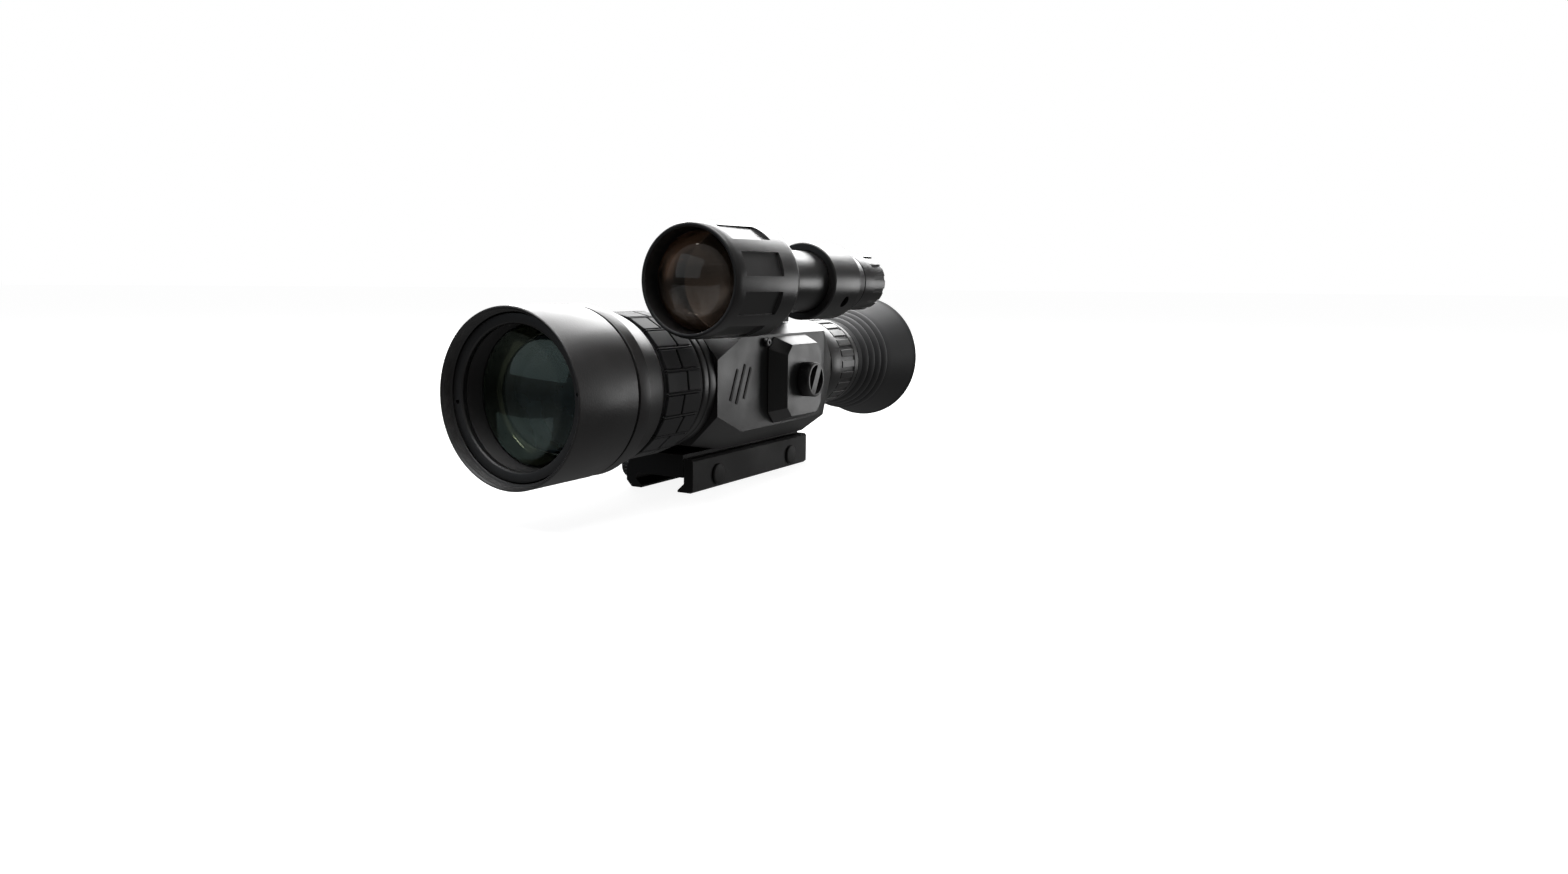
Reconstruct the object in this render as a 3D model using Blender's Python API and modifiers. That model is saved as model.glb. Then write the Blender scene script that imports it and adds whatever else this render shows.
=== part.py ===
"""Digital day and night riflescope with a clip-on infrared torch and a rail clamp.

The frame is +Z up, with the origin at the centre of the face that sits on the rail.
The optical axis runs along Y, AXIS_Z above the rail, with the objective towards -Y.
The battery door and the torch are on the +X side. Sizes are in millimetres and are
turned into metres by mm().
"""

import math

import bmesh
import bpy
from mathutils import Matrix, Vector

# Driving dimensions, in millimetres
AXIS_Z = 38.4
BELL_R = 31.4
BELL_FRONT = -137.0
BELL_REAR = -85.5
TUBE_R, TUBE_NECK_R = 22.9, 20.0
FOCUS_R = 28.3
FOCUS_FRONT, FOCUS_REAR = -82.2, -57.0
BODY_HALF = 27.4
COLLAR_FRONT, COLLAR_R = -56.4, 27.0
BODY_FRONT, BODY_REAR = -47.5, 66.0
DECK_Z = 60.2
BASE_TOP = 9.2
EYE_TUBE_R = 17.7
EYE_REAR = 144.75
BASE_HALF_LENGTH = 48.4
BOLT_YS = (-29.6, 32.7)
BOLT_Z = -0.4
TORCH_X, TORCH_Z = 38.4, 78.5
TORCH_TUBE_R = 12.7
BAY_Y, BAY_Z, BAY_HALF = 10.8, 36.8, 15.4
CELL_R, CELL_PITCH = 7.1, 7.35
DOOR_FACE_X = 35.3
KEYPAD, KEY_REACH = (-10.0, 14.0), 6.6
GAP = 0.3

OPTICAL = (0.0, AXIS_Z)
TORCH = (TORCH_X, TORCH_Z)


def mm(value):
    """Millimetres to metres, for one number or a point."""
    if isinstance(value, (int, float)):
        return value * 0.001
    return tuple(v * 0.001 for v in value)


def clear_scene():
    for obj in list(bpy.data.objects):
        bpy.data.objects.remove(obj)


def new_collection(name):
    collection = bpy.data.collections.new(name)
    bpy.context.scene.collection.children.link(collection)
    return collection


clear_scene()
PARTS = new_collection("riflescope")
CUTTERS = new_collection("cutters")


def material(name, colour, roughness, metallic=0.0, alpha=1.0):
    made = bpy.data.materials.new(name)
    made.use_nodes = True
    shader = made.node_tree.nodes["Principled BSDF"]
    shader.inputs["Base Color"].default_value = (*colour, 1.0)
    shader.inputs["Roughness"].default_value = roughness
    shader.inputs["Metallic"].default_value = metallic
    shader.inputs["Alpha"].default_value = alpha
    return made


ANODISED = material("black_anodised", (0.035, 0.033, 0.033), 0.45, 0.6)
POLYMER = material("black_polymer", (0.045, 0.042, 0.042), 0.5)
RUBBER = material("black_rubber", (0.022, 0.023, 0.024), 0.75)
LENS = material("coated_glass", (0.12, 0.2, 0.2), 0.05, 0.0, 0.4)
STEEL = material("dark_steel", (0.1, 0.1, 0.1), 0.4, 1.0)
BOARD = material("circuit_board", (0.02, 0.12, 0.05), 0.5)
CELL = material("cell_wrap", (0.15, 0.15, 0.17), 0.4)


def add_object(name, mesh, look):
    obj = bpy.data.objects.new(name, mesh)
    if look is None:
        CUTTERS.objects.link(obj)
        obj.hide_render = True
        obj.display_type = "WIRE"
    else:
        PARTS.objects.link(obj)
        mesh.materials.append(look)
    return obj


def mesh_object(name, bm, look):
    bmesh.ops.recalc_face_normals(bm, faces=bm.faces)
    mesh = bpy.data.meshes.new(name)
    bm.to_mesh(mesh)
    bm.free()
    return add_object(name, mesh, look)


def aim(obj, axis, centre):
    """Turn local Z onto the X or Y axis, or leave it, with the axis through centre.

    centre is the pair of coordinates across the axis, in x, y, z order.
    """
    first, second = centre
    if axis == "X":
        obj.rotation_euler = (0, math.pi / 2, 0)
        obj.location = mm((0, first, second))
    elif axis == "Y":
        obj.rotation_euler = (-math.pi / 2, 0, 0)
        obj.location = mm((first, 0, second))
    else:
        obj.location = mm((first, second, 0))


def turned(name, look, profile, centre=OPTICAL, axis="Y", steps=40, closed=True):
    """A turned piece. profile lists (position along the axis, radius) points.

    A closed profile is a ring. An open one starts and ends on the axis.
    """
    doubled_area = sum(
        a[1] * b[0] - b[1] * a[0] for a, b in zip(profile, profile[1:] + profile[:1])
    )
    if doubled_area > 0:
        profile = profile[::-1]
    mesh = bpy.data.meshes.new(name)
    points = [mm((radius, 0, along)) for along, radius in profile]
    edges = [(i, i + 1) for i in range(len(points) - 1)]
    if closed:
        edges.append((len(points) - 1, 0))
    mesh.from_pydata(points, edges, [])
    obj = add_object(name, mesh, look)
    screw = obj.modifiers.new("turn", "SCREW")
    screw.steps = screw.render_steps = steps
    screw.use_merge_vertices = True
    screw.merge_threshold = 0.00001
    aim(obj, axis, centre)
    return obj


def box(name, look, low, high):
    bm = bmesh.new()
    bmesh.ops.create_cube(bm, size=1.0)
    size = Vector(mm(high)) - Vector(mm(low))
    middle = (Vector(mm(high)) + Vector(mm(low))) / 2
    bmesh.ops.scale(bm, vec=size, verts=bm.verts)
    bmesh.ops.translate(bm, vec=middle, verts=bm.verts)
    return mesh_object(name, bm, look)


def hull(name, look, points):
    """The convex body that wraps a set of points."""
    bm = bmesh.new()
    for point in points:
        bm.verts.new(mm(point))
    done = bmesh.ops.convex_hull(bm, input=bm.verts)
    unused = [g for g in done["geom_interior"] if isinstance(g, bmesh.types.BMVert)]
    bmesh.ops.delete(bm, geom=unused, context="VERTS")
    bmesh.ops.dissolve_limit(
        bm, angle_limit=math.radians(1), verts=bm.verts, edges=bm.edges
    )
    return mesh_object(name, bm, look)


def prism(name, look, outline, y_low, y_high):
    """An outline of (x, z) points drawn out along Y, from a filled 2D curve."""
    curve = bpy.data.curves.new(name, "CURVE")
    curve.dimensions = "2D"
    curve.fill_mode = "BOTH"
    curve.extrude = mm((y_high - y_low) / 2)
    spline = curve.splines.new("POLY")
    spline.points.add(len(outline) - 1)
    for point, (x, z) in zip(spline.points, outline):
        point.co = (*mm((x, -z)), 0, 1)
    spline.use_cyclic_u = True
    guide = bpy.data.objects.new(name + "_outline", curve)
    CUTTERS.objects.link(guide)
    bpy.context.view_layer.update()
    graph = bpy.context.evaluated_depsgraph_get()
    bm = bmesh.new()
    bm.from_mesh(guide.evaluated_get(graph).to_mesh())
    bpy.data.objects.remove(guide)
    bmesh.ops.remove_doubles(bm, verts=bm.verts, dist=0.00001)
    turn = Matrix.Rotation(-math.pi / 2, 4, "X")
    place = Matrix.Translation(mm((0, (y_low + y_high) / 2, 0)))
    bmesh.ops.transform(bm, matrix=place @ turn, verts=bm.verts)
    return mesh_object(name, bm, look)


def combine(obj, other, operation):
    modifier = obj.modifiers.new(operation.lower(), "BOOLEAN")
    modifier.operation = operation
    modifier.object = other


def cut(obj, *cutters):
    for cutter in cutters:
        combine(obj, cutter, "DIFFERENCE")


def add(obj, *others):
    for other in others:
        combine(obj, other, "UNION")


def put_origin(obj, point):
    """Set the origin of an unplaced piece on its joint's axis; the piece stays put."""
    offset = Vector(mm(point))
    obj.data.transform(Matrix.Translation(-offset))
    obj.location = offset


def rod(name, look, low, high, radius, centre=OPTICAL, axis="Y", steps=24):
    """A plain solid cylinder between two positions along an axis."""
    profile = [(high, 0), (high, radius), (low, radius), (low, 0)]
    return turned(name, look, profile, centre, axis, steps, closed=False)


def around(name, count, size, radius, y_low, y_high, centre, offset_deg=0.0):
    """A ring of boxes about a Y axis. size is the width along the rim."""
    bm = bmesh.new()
    inner, outer = radius
    for i in range(count):
        block = bmesh.ops.create_cube(bm, size=1.0)["verts"]
        scale = Vector(mm((outer - inner, y_high - y_low, size)))
        bmesh.ops.scale(bm, vec=scale, verts=block)
        middle = mm(((inner + outer) / 2, (y_low + y_high) / 2, 0))
        bmesh.ops.translate(bm, vec=middle, verts=block)
        angle = -math.radians(offset_deg + i * 360 / count)
        spin = Matrix.Rotation(angle, 4, "Y")
        place = Matrix.Translation(mm((centre[0], 0, centre[1])))
        bmesh.ops.transform(bm, matrix=place @ spin, verts=block)
    return mesh_object(name, bm, None)


def face_points(middle, edge, rim, count=4):
    """Points of a curved lens face, from the axis at middle to the rim at edge."""
    steps = [i / (count - 1) for i in range(count)]
    return [(middle + (edge - middle) * t * t, rim * t) for t in steps]


def lens(name, rim, front, front_edge, rear_edge, rear, steps=28):
    """A lens disc. front and rear are where its faces cross the axis."""
    first = face_points(front, front_edge, rim)
    last = face_points(rear, rear_edge, rim)
    return turned(name, LENS, first + last[::-1], OPTICAL, "Y", steps, closed=False)


# Objective end


def objective():
    groove_front, groove_rear, groove_r = -104.9, -103.6, BELL_R - 1.0
    turned("objective_bell", ANODISED, [
        (BELL_FRONT, BELL_R - 0.5), (BELL_FRONT + 0.5, BELL_R),
        (groove_front, BELL_R), (groove_front, groove_r),
        (groove_rear, groove_r), (groove_rear, BELL_R),
        (-97.5, BELL_R), (-87.0, 29.2), (BELL_REAR, 28.4),
        (BELL_REAR, TUBE_R + GAP), (-110.4, TUBE_R + GAP), (-117.5, 29.3),
        (-130.5, 29.3), (BELL_FRONT + 0.4, 30.2), (BELL_FRONT, 30.6),
    ], steps=40)
    ring = turned("lens_retaining_ring", ANODISED, [
        (-132.6, 29.0), (-129.4, 29.0), (-129.4, 25.4), (-131.8, 25.4), (-132.6, 26.0),
    ])
    for side in (-1, 1):
        hole = rod(f"spanner_hole_{side}", None, -134, -130.8, 0.9, (side * 27.5, AXIS_Z), "Y", 10)
        cut(ring, hole)
    lens("objective_lens", 29.0, -129.9, -126.0, -120.0, -118.4)
    turned("lens_tube", ANODISED, [
        (-110.0, TUBE_R), (-48.6, TUBE_R), (-48.6, TUBE_NECK_R), (-32.0, TUBE_NECK_R),
        (-32.0, 18.4), (-50.4, 18.4), (-50.4, 20.9), (-110.0, 20.9),
    ])
    turned("bell_seal", RUBBER, [
        (-111.6, 22.6), (-110.3, 22.6), (-110.3, 21.2), (-111.6, 21.2),
    ], steps=24)
    turned("focus_cell", ANODISED, [
        (-92.0, 20.5), (-80.0, 20.5), (-80.0, 17.6), (-92.0, 17.6),
    ], steps=32)
    lens("focus_lens", 17.3, -90.6, -88.6, -84.0, -83.0)
    ring = turned("focus_ring", RUBBER, [
        (FOCUS_FRONT, FOCUS_R), (FOCUS_REAR, FOCUS_R),
        (FOCUS_REAR, TUBE_R + 0.4), (FOCUS_FRONT, TUBE_R + 0.4),
    ], steps=40)
    pads, depth = 16, (FOCUS_R - 1.5, FOCUS_R + 2)
    middle = (FOCUS_FRONT + FOCUS_REAR) / 2
    cut(
        ring,
        around("front_slots", pads, 2.2, depth, FOCUS_FRONT - 1, middle + 0.6, OPTICAL, 4),
        around("rear_slots", pads, 2.2, depth, middle - 0.6, FOCUS_REAR - 3.2, OPTICAL, 11),
    )


# Main housing and what is in it


def body_section(y, half, low, high, bottom, top):
    """Eight corners of the housing's section: its two sides, its deck and its foot."""
    foot_half, foot_z = bottom
    deck_half, deck_z = top
    corners = []
    for side in (-1, 1):
        corners += [(side * half, y, low), (side * half, y, high)]
        corners += [(side * foot_half, y, foot_z), (side * deck_half, y, deck_z)]
    return corners


def ring_points(y, radius, count):
    turns = [math.tau * (i + 0.5) / count for i in range(count)]
    return [(radius * math.cos(a), y, AXIS_Z + radius * math.sin(a)) for a in turns]


def housing():
    foot, deck = (16.5, BASE_TOP + GAP), (20.0, DECK_Z)
    points = body_section(BODY_FRONT, BODY_HALF, 25.5, 47.8, (15.0, 13.0), (17.0, DECK_Z))
    points += body_section(-29.0, BODY_HALF, 17.7, 56.2, foot, deck)
    points += body_section(44.0, BODY_HALF, 17.7, 56.2, foot, deck)
    points += ring_points(BODY_REAR, 20.6, 16)
    shell = hull("housing", POLYMER, points)
    bay_low = (-17.9, BAY_Y - BAY_HALF, BAY_Z - BAY_HALF)
    bay_high = (32.0, BAY_Y + BAY_HALF, BAY_Z + BAY_HALF)
    cut(
        shell,
        rod("front_bore", None, -60, -26, TUBE_NECK_R + GAP, OPTICAL, "Y", 40),
        rod("rear_bore", None, 33, 70, EYE_TUBE_R + GAP, OPTICAL, "Y", 40),
        box("battery_bay", None, bay_low, bay_high),
        box("board_pocket", None, (-32, -24, 19), (-19.6, 31, 55)),
    )
    for x, y, radius in keypad_places():
        cut(shell, rod(f"well_{x}_{y}", None, 57, 62, radius + 0.3, (x, y), "Z", 16))
    turned("front_collar", ANODISED, [
        (COLLAR_FRONT, COLLAR_R), (BODY_FRONT - GAP, COLLAR_R),
        (BODY_FRONT - GAP, TUBE_R + GAP), (COLLAR_FRONT, TUBE_R + GAP),
    ], steps=36)
    turned("sensor_mount", ANODISED, [
        (-37.8, 18.1), (-34.5, 18.1), (-34.5, 11.0), (-37.8, 11.0),
    ], steps=24)
    box("sensor_board", BOARD, (-12, -39.8, AXIS_Z - 12), (12, -38.2, AXIS_Z + 12))
    box("image_sensor", LENS, (-5.5, -41.6, AXIS_Z - 4), (5.5, -40.1, AXIS_Z + 4))
    box("main_board", BOARD, (-21.6, -19, 24), (-20.2, 26, 50))
    box("usb_port", STEEL, (-25.2, -15.5, 26), (-21.9, -6.5, 29.5))
    cover = box("side_cover", POLYMER, (-27.3, -23.7, 19.3), (-25.6, 30.7, 54.7))
    cut(cover, box("usb_window", None, (-30, -16, 25), (-20, -6, 31)))
    for row, z in enumerate((22.0, 52.0)):
        for column, y in enumerate((-21.8, 28.8)):
            cut(cover, rod(f"cover_hole_{row}{column}", None, -30, -20, 1.5, (y, z), "X", 12))
            name = f"cover_screw_{2 * row + column + 1}"
            rod(name, STEEL, -27.1, -20.0, 1.2, (y, z), "X", 12)
    flap = box("usb_flap", RUBBER, (-28.7, -18, 23), (-27.6, -4, 33))
    put_origin(flap, (-27.6, -11, 23))


def keypad_places():
    """Where the five keys stand on the deck: x, y and radius."""
    x, y = KEYPAD
    side, middle = 2.5, 3.0
    return [
        (x, y, middle), (x, y + KEY_REACH, side), (x, y - KEY_REACH, side),
        (x + KEY_REACH, y, side), (x - KEY_REACH, y, side),
    ]


def keys():
    names = ("power", "down", "up", "right", "left")
    for name, (x, y, radius) in zip(names, keypad_places()):
        rod(f"key_{name}", RUBBER, 58.6, DECK_Z + 1.2, radius, (x, y), "Z", 16)


def octagon(x, y_low, y_high, z_low, z_high, corner):
    """A rectangle with its corners cut off, on a plane of constant x."""
    return [
        (x, y_low + corner, z_low), (x, y_high - corner, z_low),
        (x, y_high, z_low + corner), (x, y_high, z_high - corner),
        (x, y_high - corner, z_high), (x, y_low + corner, z_high),
        (x, y_low, z_high - corner), (x, y_low, z_low + corner),
    ]


def battery_bay():
    box("contact_board", BOARD, (-17.6, -4, 22), (-17.0, 25.6, 51.6))
    for i, (dy, dz) in enumerate(((-1, -1), (1, -1), (-1, 1), (1, 1))):
        centre = (BAY_Y + dy * CELL_PITCH, BAY_Z + dz * CELL_PITCH)
        rod(f"cell_{i + 1}", CELL, -16.7, 33.3, CELL_R, centre, "X", 16)
    outside = octagon(BODY_HALF + GAP, -8.2, 29.8, 18.6, 55.2, 5.0)
    outside += octagon(DOOR_FACE_X, -4.8, 26.2, 21.6, 51.9, 4.0)
    door = hull("battery_door", POLYMER, outside)
    put_origin(door, (DOOR_FACE_X, BAY_Y, BAY_Z))
    inside = []
    for x in (20.0, 33.8):
        inside += octagon(x, BAY_Y - 15, BAY_Y + 15, BAY_Z - 15, BAY_Z + 15, 4.0)
    cut(
        door,
        hull("door_hollow", None, inside),
        rod("latch_hole", None, 20, 40, 2.4, (BAY_Y, BAY_Z), "X", 16),
    )
    knob_r, grip_half, rim = 7.4, 1.5, 5.6
    knob = turned("door_latch", POLYMER, [
        (40.8, 0), (40.8, knob_r - 0.5), (40.3, knob_r), (DOOR_FACE_X + GAP, knob_r),
        (DOOR_FACE_X + GAP, 2.0), (30.0, 2.0), (30.0, 0),
    ], (BAY_Y, BAY_Z), "X", 32, closed=False)
    pocket = rod("finger_pocket", None, 37.4, 42, rim, (BAY_Y, BAY_Z), "X", 24)
    grip = box("finger_grip", None, (37, -grip_half, -knob_r), (43, grip_half, knob_r))
    grip.data.transform(Matrix.Rotation(math.radians(-28), 4, "X"))
    grip.data.transform(Matrix.Translation(mm((0, BAY_Y, BAY_Z))))
    cut(pocket, grip)
    cut(knob, pocket)


# Eyepiece end


def eyepiece():
    turned("eyepiece_tube", ANODISED, [
        (33.6, EYE_TUBE_R), (104.0, EYE_TUBE_R), (104.0, 15.5), (33.6, 15.5),
    ], steps=32)
    box("display_board", BOARD, (-10, 34.6, AXIS_Z - 9), (10, 35.8, AXIS_Z + 9))
    box("display_panel", LENS, (-8, 36.1, AXIS_Z - 6), (8, 38.6, AXIS_Z + 6))
    lens("field_lens", 15.2, 78.6, 80.5, 84.0, 85.6)
    lens("eye_lens", 15.2, 91.0, 92.5, 97.0, 99.0)
    ring = turned("diopter_ring", ANODISED, [
        (BODY_REAR + 0.4, 20.6), (71.0, 21.2), (93.0, 21.2), (94.0, 20.4), (97.0, 20.4),
        (97.0, EYE_TUBE_R + 0.4), (BODY_REAR + 0.4, EYE_TUBE_R + 0.4),
    ], steps=40)
    cut(ring, around("diopter_notches", 10, 3.0, (20.2, 24), 78, 90, OPTICAL, 12))
    outer, ribs, pitch = [(97.4, 21.0)], 4, 5.0
    for i in range(ribs):
        crest, valley = 22.4 + i * 1.4, 20.9 + i * 1.4
        start = 99.5 + i * pitch
        outer += [(start, valley), (start + 2.2, crest)]
    outer += [(121.0, 26.5), (134.0, 29.9), (EYE_REAR, 32.0)]
    inner = [
        (EYE_REAR, 30.8), (133.5, 28.4), (121.0, 24.8), (107.0, 19.6),
        (105.0, EYE_TUBE_R + GAP), (97.4, EYE_TUBE_R + GAP),
    ]
    turned("eyecup", RUBBER, outer + inner, steps=36)


# Rail clamp under the housing


def rail_clamp():
    base = prism("mount_base", ANODISED, [
        (-10.4, BASE_TOP), (-14.4, 5.6), (-16.0, 2.0), (-16.0, -3.4), (-13.4, -6.0),
        (-8.6, -6.0), (-8.6, -5.2), (-11.4, -2.4), (-10.6, 0.0), (12.0, 0.0), (12.0, BASE_TOP),
    ], -BASE_HALF_LENGTH, BASE_HALF_LENGTH)
    jaw = prism("clamp_jaw", ANODISED, [
        (12.3, 7.7), (12.3, -2.4), (9.3, -5.2), (9.3, -6.0), (15.6, -6.0), (16.7, -5.0),
        (16.7, 6.8), (15.8, 7.7),
    ], -BASE_HALF_LENGTH, BASE_HALF_LENGTH)
    put_origin(jaw, (12.3, 0, BOLT_Z))
    for label, y in zip(("front", "rear"), BOLT_YS):
        for obj in (base, jaw):
            hole = rod(f"{obj.name}_{label}_hole", None, -20, 20, 2.8, (y, BOLT_Z), "X", 16)
            cut(obj, hole)
        turned(f"clamp_bolt_{label}", STEEL, [
            (17.6, 0), (17.6, 4.3), (17.0, 4.3), (17.0, 2.4), (-31.0, 2.4), (-31.0, 0),
        ], (y, BOLT_Z), "X", 20, closed=False)
        nut = turned(f"clamp_nut_{label}", STEEL, [
            (-16.3, 6.0), (-16.3, 2.7), (-29.0, 2.7), (-29.0, 5.4), (-28.4, 6.0),
        ], (y, BOLT_Z), "X", 24)
        slots = nut_slots(f"nut_slots_{label}", y)
        cut(nut, slots)
    for label, y in (("front", -10.0), ("rear", 13.0)):
        cut(base, rod(f"seat_hole_{label}", None, -1, 10, 2.8, (1.0, y), "Z", 16))
        rod(f"base_screw_{label}", STEEL, 0.6, 9.0, 2.5, (1.0, y), "Z", 16)


def nut_slots(name, y):
    """Grip grooves along a thumb nut."""
    bm = bmesh.new()
    for i in range(8):
        block = bmesh.ops.create_cube(bm, size=1.0)["verts"]
        bmesh.ops.scale(bm, vec=Vector(mm((8, 2, 1.4))), verts=block)
        bmesh.ops.translate(bm, vec=Vector(mm((-24.6, 6.3, 0))), verts=block)
        spin = Matrix.Rotation(math.tau * i / 8, 4, "X")
        place = Matrix.Translation(mm((0, y, BOLT_Z)))
        bmesh.ops.transform(bm, matrix=place @ spin, verts=block)
    return mesh_object(name, bm, None)


# Infrared torch and its mount


def torch_mount():
    rail = prism("accessory_rail", ANODISED, [
        (4.6, 60.5), (17.4, 60.5), (17.4, 62.6), (20.0, 64.6), (18.0, 66.5),
        (4.0, 66.5), (2.0, 64.6), (4.6, 62.6),
    ], -4.0, 28.4)
    cross = [-0.4 + 10 * i for i in range(3)]
    for i, y in enumerate(cross):
        cut(rail, box(f"rail_cross_{i}", None, (0, y, 63.8), (22, y + 4.2, 68)))
    wall, length = 16.1, 24.4
    ring = turned("torch_clamp", ANODISED, [
        (0, wall), (length, wall), (length, TORCH_TUBE_R + 0.25), (0, TORCH_TUBE_R + 0.25),
    ], TORCH)
    foot = prism("clamp_foot", None, [
        (-0.6, 63.2), (-0.6, 69.0), (8.0, 77.0), (30.0, 82.0), (30.0, 72.0), (24.0, 67.0),
        (22.6, 63.2), (18.8, 63.2), (20.5, 64.6), (18.2, 66.8), (3.8, 66.8), (1.5, 64.6),
        (3.2, 63.2),
    ], 0.6, length - 0.6)
    cut(foot, rod("foot_bore", None, -5, 30, wall - 1.5, TORCH, "Y", 40))
    add(ring, foot)
    tilt, reach = math.radians(-28), (TORCH_TUBE_R - 1, wall + 2)
    well = rod("set_screw_well", None, *reach, 2.8, (0, 0), "Z", 16)
    screw = rod("set_screw", STEEL, TORCH_TUBE_R + 0.5, 14.6, 2.4, (0, 0), "Z", 12)
    for obj in (well, screw):
        obj.rotation_euler = (0, math.pi / 2 - tilt, 0)
        obj.location = mm((TORCH_X, 13.0, TORCH_Z))
    cut(ring, well)


def torch():
    head = turned("torch_head", ANODISED, [
        (-85.4, 20.1), (-84.2, 20.9), (-41.5, 21.4), (-38.6, 19.6), (-38.6, TORCH_TUBE_R + 0.3),
        (-61.0, TORCH_TUBE_R + 0.3), (-70.0, 17.4), (-77.0, 18.6), (-84.6, 18.9), (-85.4, 19.3),
    ], TORCH, steps=40)
    cut(head, around("head_panels", 9, 9.0, (20.1, 26), -81.7, -51.5, TORCH, 17))
    dome = [(-86.4 + 8.4 * (i / 6) ** 2, 17.9 * i / 6) for i in range(7)]
    turned("torch_lens", LENS, dome + [(-75.4, 17.9), (-75.4, 0)], TORCH, "Y", 36, closed=False)
    turned("torch_tube", ANODISED, [
        (-62.0, TORCH_TUBE_R), (36.0, TORCH_TUBE_R), (36.0, 11.2), (-62.0, 11.2),
    ], TORCH, steps=32)
    turned("led_emitter", STEEL, [
        (-62.6, 0), (-61.8, 1.8), (-60.4, 2.6), (-60.4, 10.8), (-58.0, 10.8), (-58.0, 0),
    ], TORCH, steps=24, closed=False)
    rod("torch_cell", CELL, -54.0, 12.0, 9.1, TORCH, "Y", 24)
    cap = turned("tail_cap", ANODISED, [
        (36.3, TORCH_TUBE_R), (57.8, TORCH_TUBE_R), (59.0, 11.4), (59.0, 5.4),
        (52.0, 5.4), (52.0, 9.8), (36.3, 9.8),
    ], TORCH, steps=36)
    cut(cap, around("tail_slots", 12, 2.4, (11.8, 15), 45.0, 61.0, TORCH, 8))
    turned("tail_button", RUBBER, [
        (59.8, 0), (59.8, 4.2), (59.2, 5.0), (51.7, 5.0), (51.7, 8.0), (49.8, 8.0), (49.8, 0),
    ], TORCH, steps=20, closed=False)


def smooth_round_pieces():
    """Shade every mesh smooth, as the round pieces need."""
    for obj in PARTS.objects:
        obj.data.shade_smooth()


objective()
housing()
keys()
battery_bay()
eyepiece()
rail_clamp()
torch_mount()
torch()
smooth_round_pieces()
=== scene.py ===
"""Looks for the digital riflescope with its infrared torch.

The frame is +Z up, with the origin at the centre of the face that sits on the rail. The
optical axis runs along Y, with the objective towards -Y. Sizes are in millimetres and are
turned into metres by mm().
"""

import math

import bmesh
import bpy
from mathutils import Matrix, Vector


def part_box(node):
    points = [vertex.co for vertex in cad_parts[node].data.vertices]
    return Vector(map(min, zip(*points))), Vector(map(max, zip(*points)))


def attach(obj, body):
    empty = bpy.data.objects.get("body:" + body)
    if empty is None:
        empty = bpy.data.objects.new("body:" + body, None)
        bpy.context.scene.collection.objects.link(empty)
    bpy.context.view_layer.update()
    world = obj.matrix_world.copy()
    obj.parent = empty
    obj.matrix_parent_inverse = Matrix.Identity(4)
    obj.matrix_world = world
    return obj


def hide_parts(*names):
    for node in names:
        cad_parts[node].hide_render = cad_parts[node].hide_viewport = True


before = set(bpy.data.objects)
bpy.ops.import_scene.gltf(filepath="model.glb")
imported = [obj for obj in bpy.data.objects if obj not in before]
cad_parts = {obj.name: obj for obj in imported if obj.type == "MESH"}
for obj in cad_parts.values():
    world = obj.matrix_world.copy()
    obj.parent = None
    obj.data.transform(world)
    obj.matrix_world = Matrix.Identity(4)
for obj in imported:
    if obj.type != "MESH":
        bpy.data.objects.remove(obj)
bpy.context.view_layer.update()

# The axes that the turned pieces stand on, across the way they point
OPTICAL = (0.0, 38.4)
TORCH = (38.4, 78.5)
BAY = (10.8, 36.8)

# Driving dimensions, in millimetres
BELL_FRONT, BELL_REAR, BELL_R = -137.0, -85.5, 31.4
TUBE_CLEARANCE_R = 23.4
FOCUS_FRONT, FOCUS_REAR = -82.2, -57.0
COLLAR_FRONT, COLLAR_REAR, COLLAR_R = -56.4, -47.8, 27.0
SIDE_X = 27.4
LATCH_FACE_X, LATCH_R = 40.8, 7.4
EYE_TUBE_R, EYE_CLEARANCE_R = 17.7, 18.1
EYECUP_FRONT, EYECUP_REAR = 97.4, 144.75
BOLT_R, BOLT_HEAD_R, BOLT_TIP_X = 2.4, 4.3, -31.0
NUT_INNER_X, NUT_OUTER_X, NUT_R = -16.3, -29.0, 5.5
TORCH_FRONT, TORCH_HEAD_REAR, TORCH_LENS_R = -85.4, -38.6, 17.9
TORCH_TUBE_R, TAIL_FRONT, TAIL_REAR = 12.7, 36.3, 59.0
RING_R, RING_LENGTH = 16.1, 24.4
FLOOR_Z = -6.05

# Points round a turned piece, unless it asks for others
TURN_STEPS = 128

# Scales of the mottling and the scuffs on every surface
MOTTLE_SCALE, SCUFF_SCALE = 38.0, 260.0

# Sockets of a mix node, for colours and for plain numbers
FIRST_COLOUR, SECOND_COLOUR, MIXED_COLOUR = 6, 7, 2
FIRST_NUMBER, SECOND_NUMBER, MIXED_NUMBER = 2, 3, 0

# Camera: its place in metres, then azimuth, elevation and roll in degrees
CAMERA_PLACE = (0.2564, -0.4133, 0.0780)
CAMERA_TURN = (31.916, 6.053, 0.408)
CAMERA_LENS, CAMERA_SHIFT = 25.54, (0.0408, -0.0236)


def mm(value):
    """Millimetres to metres, for one number or a point."""
    if isinstance(value, (int, float)):
        return value * 0.001
    return tuple(v * 0.001 for v in value)


def box_in_mm(node):
    """The lowest and highest corners of a part, in millimetres."""
    low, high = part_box(node)
    return low * 1000, high * 1000


# Mesh helpers


def tidy_shading(obj, angle=38):
    obj.data.shade_smooth()
    obj.data.set_sharp_from_angle(angle=math.radians(angle))


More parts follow.
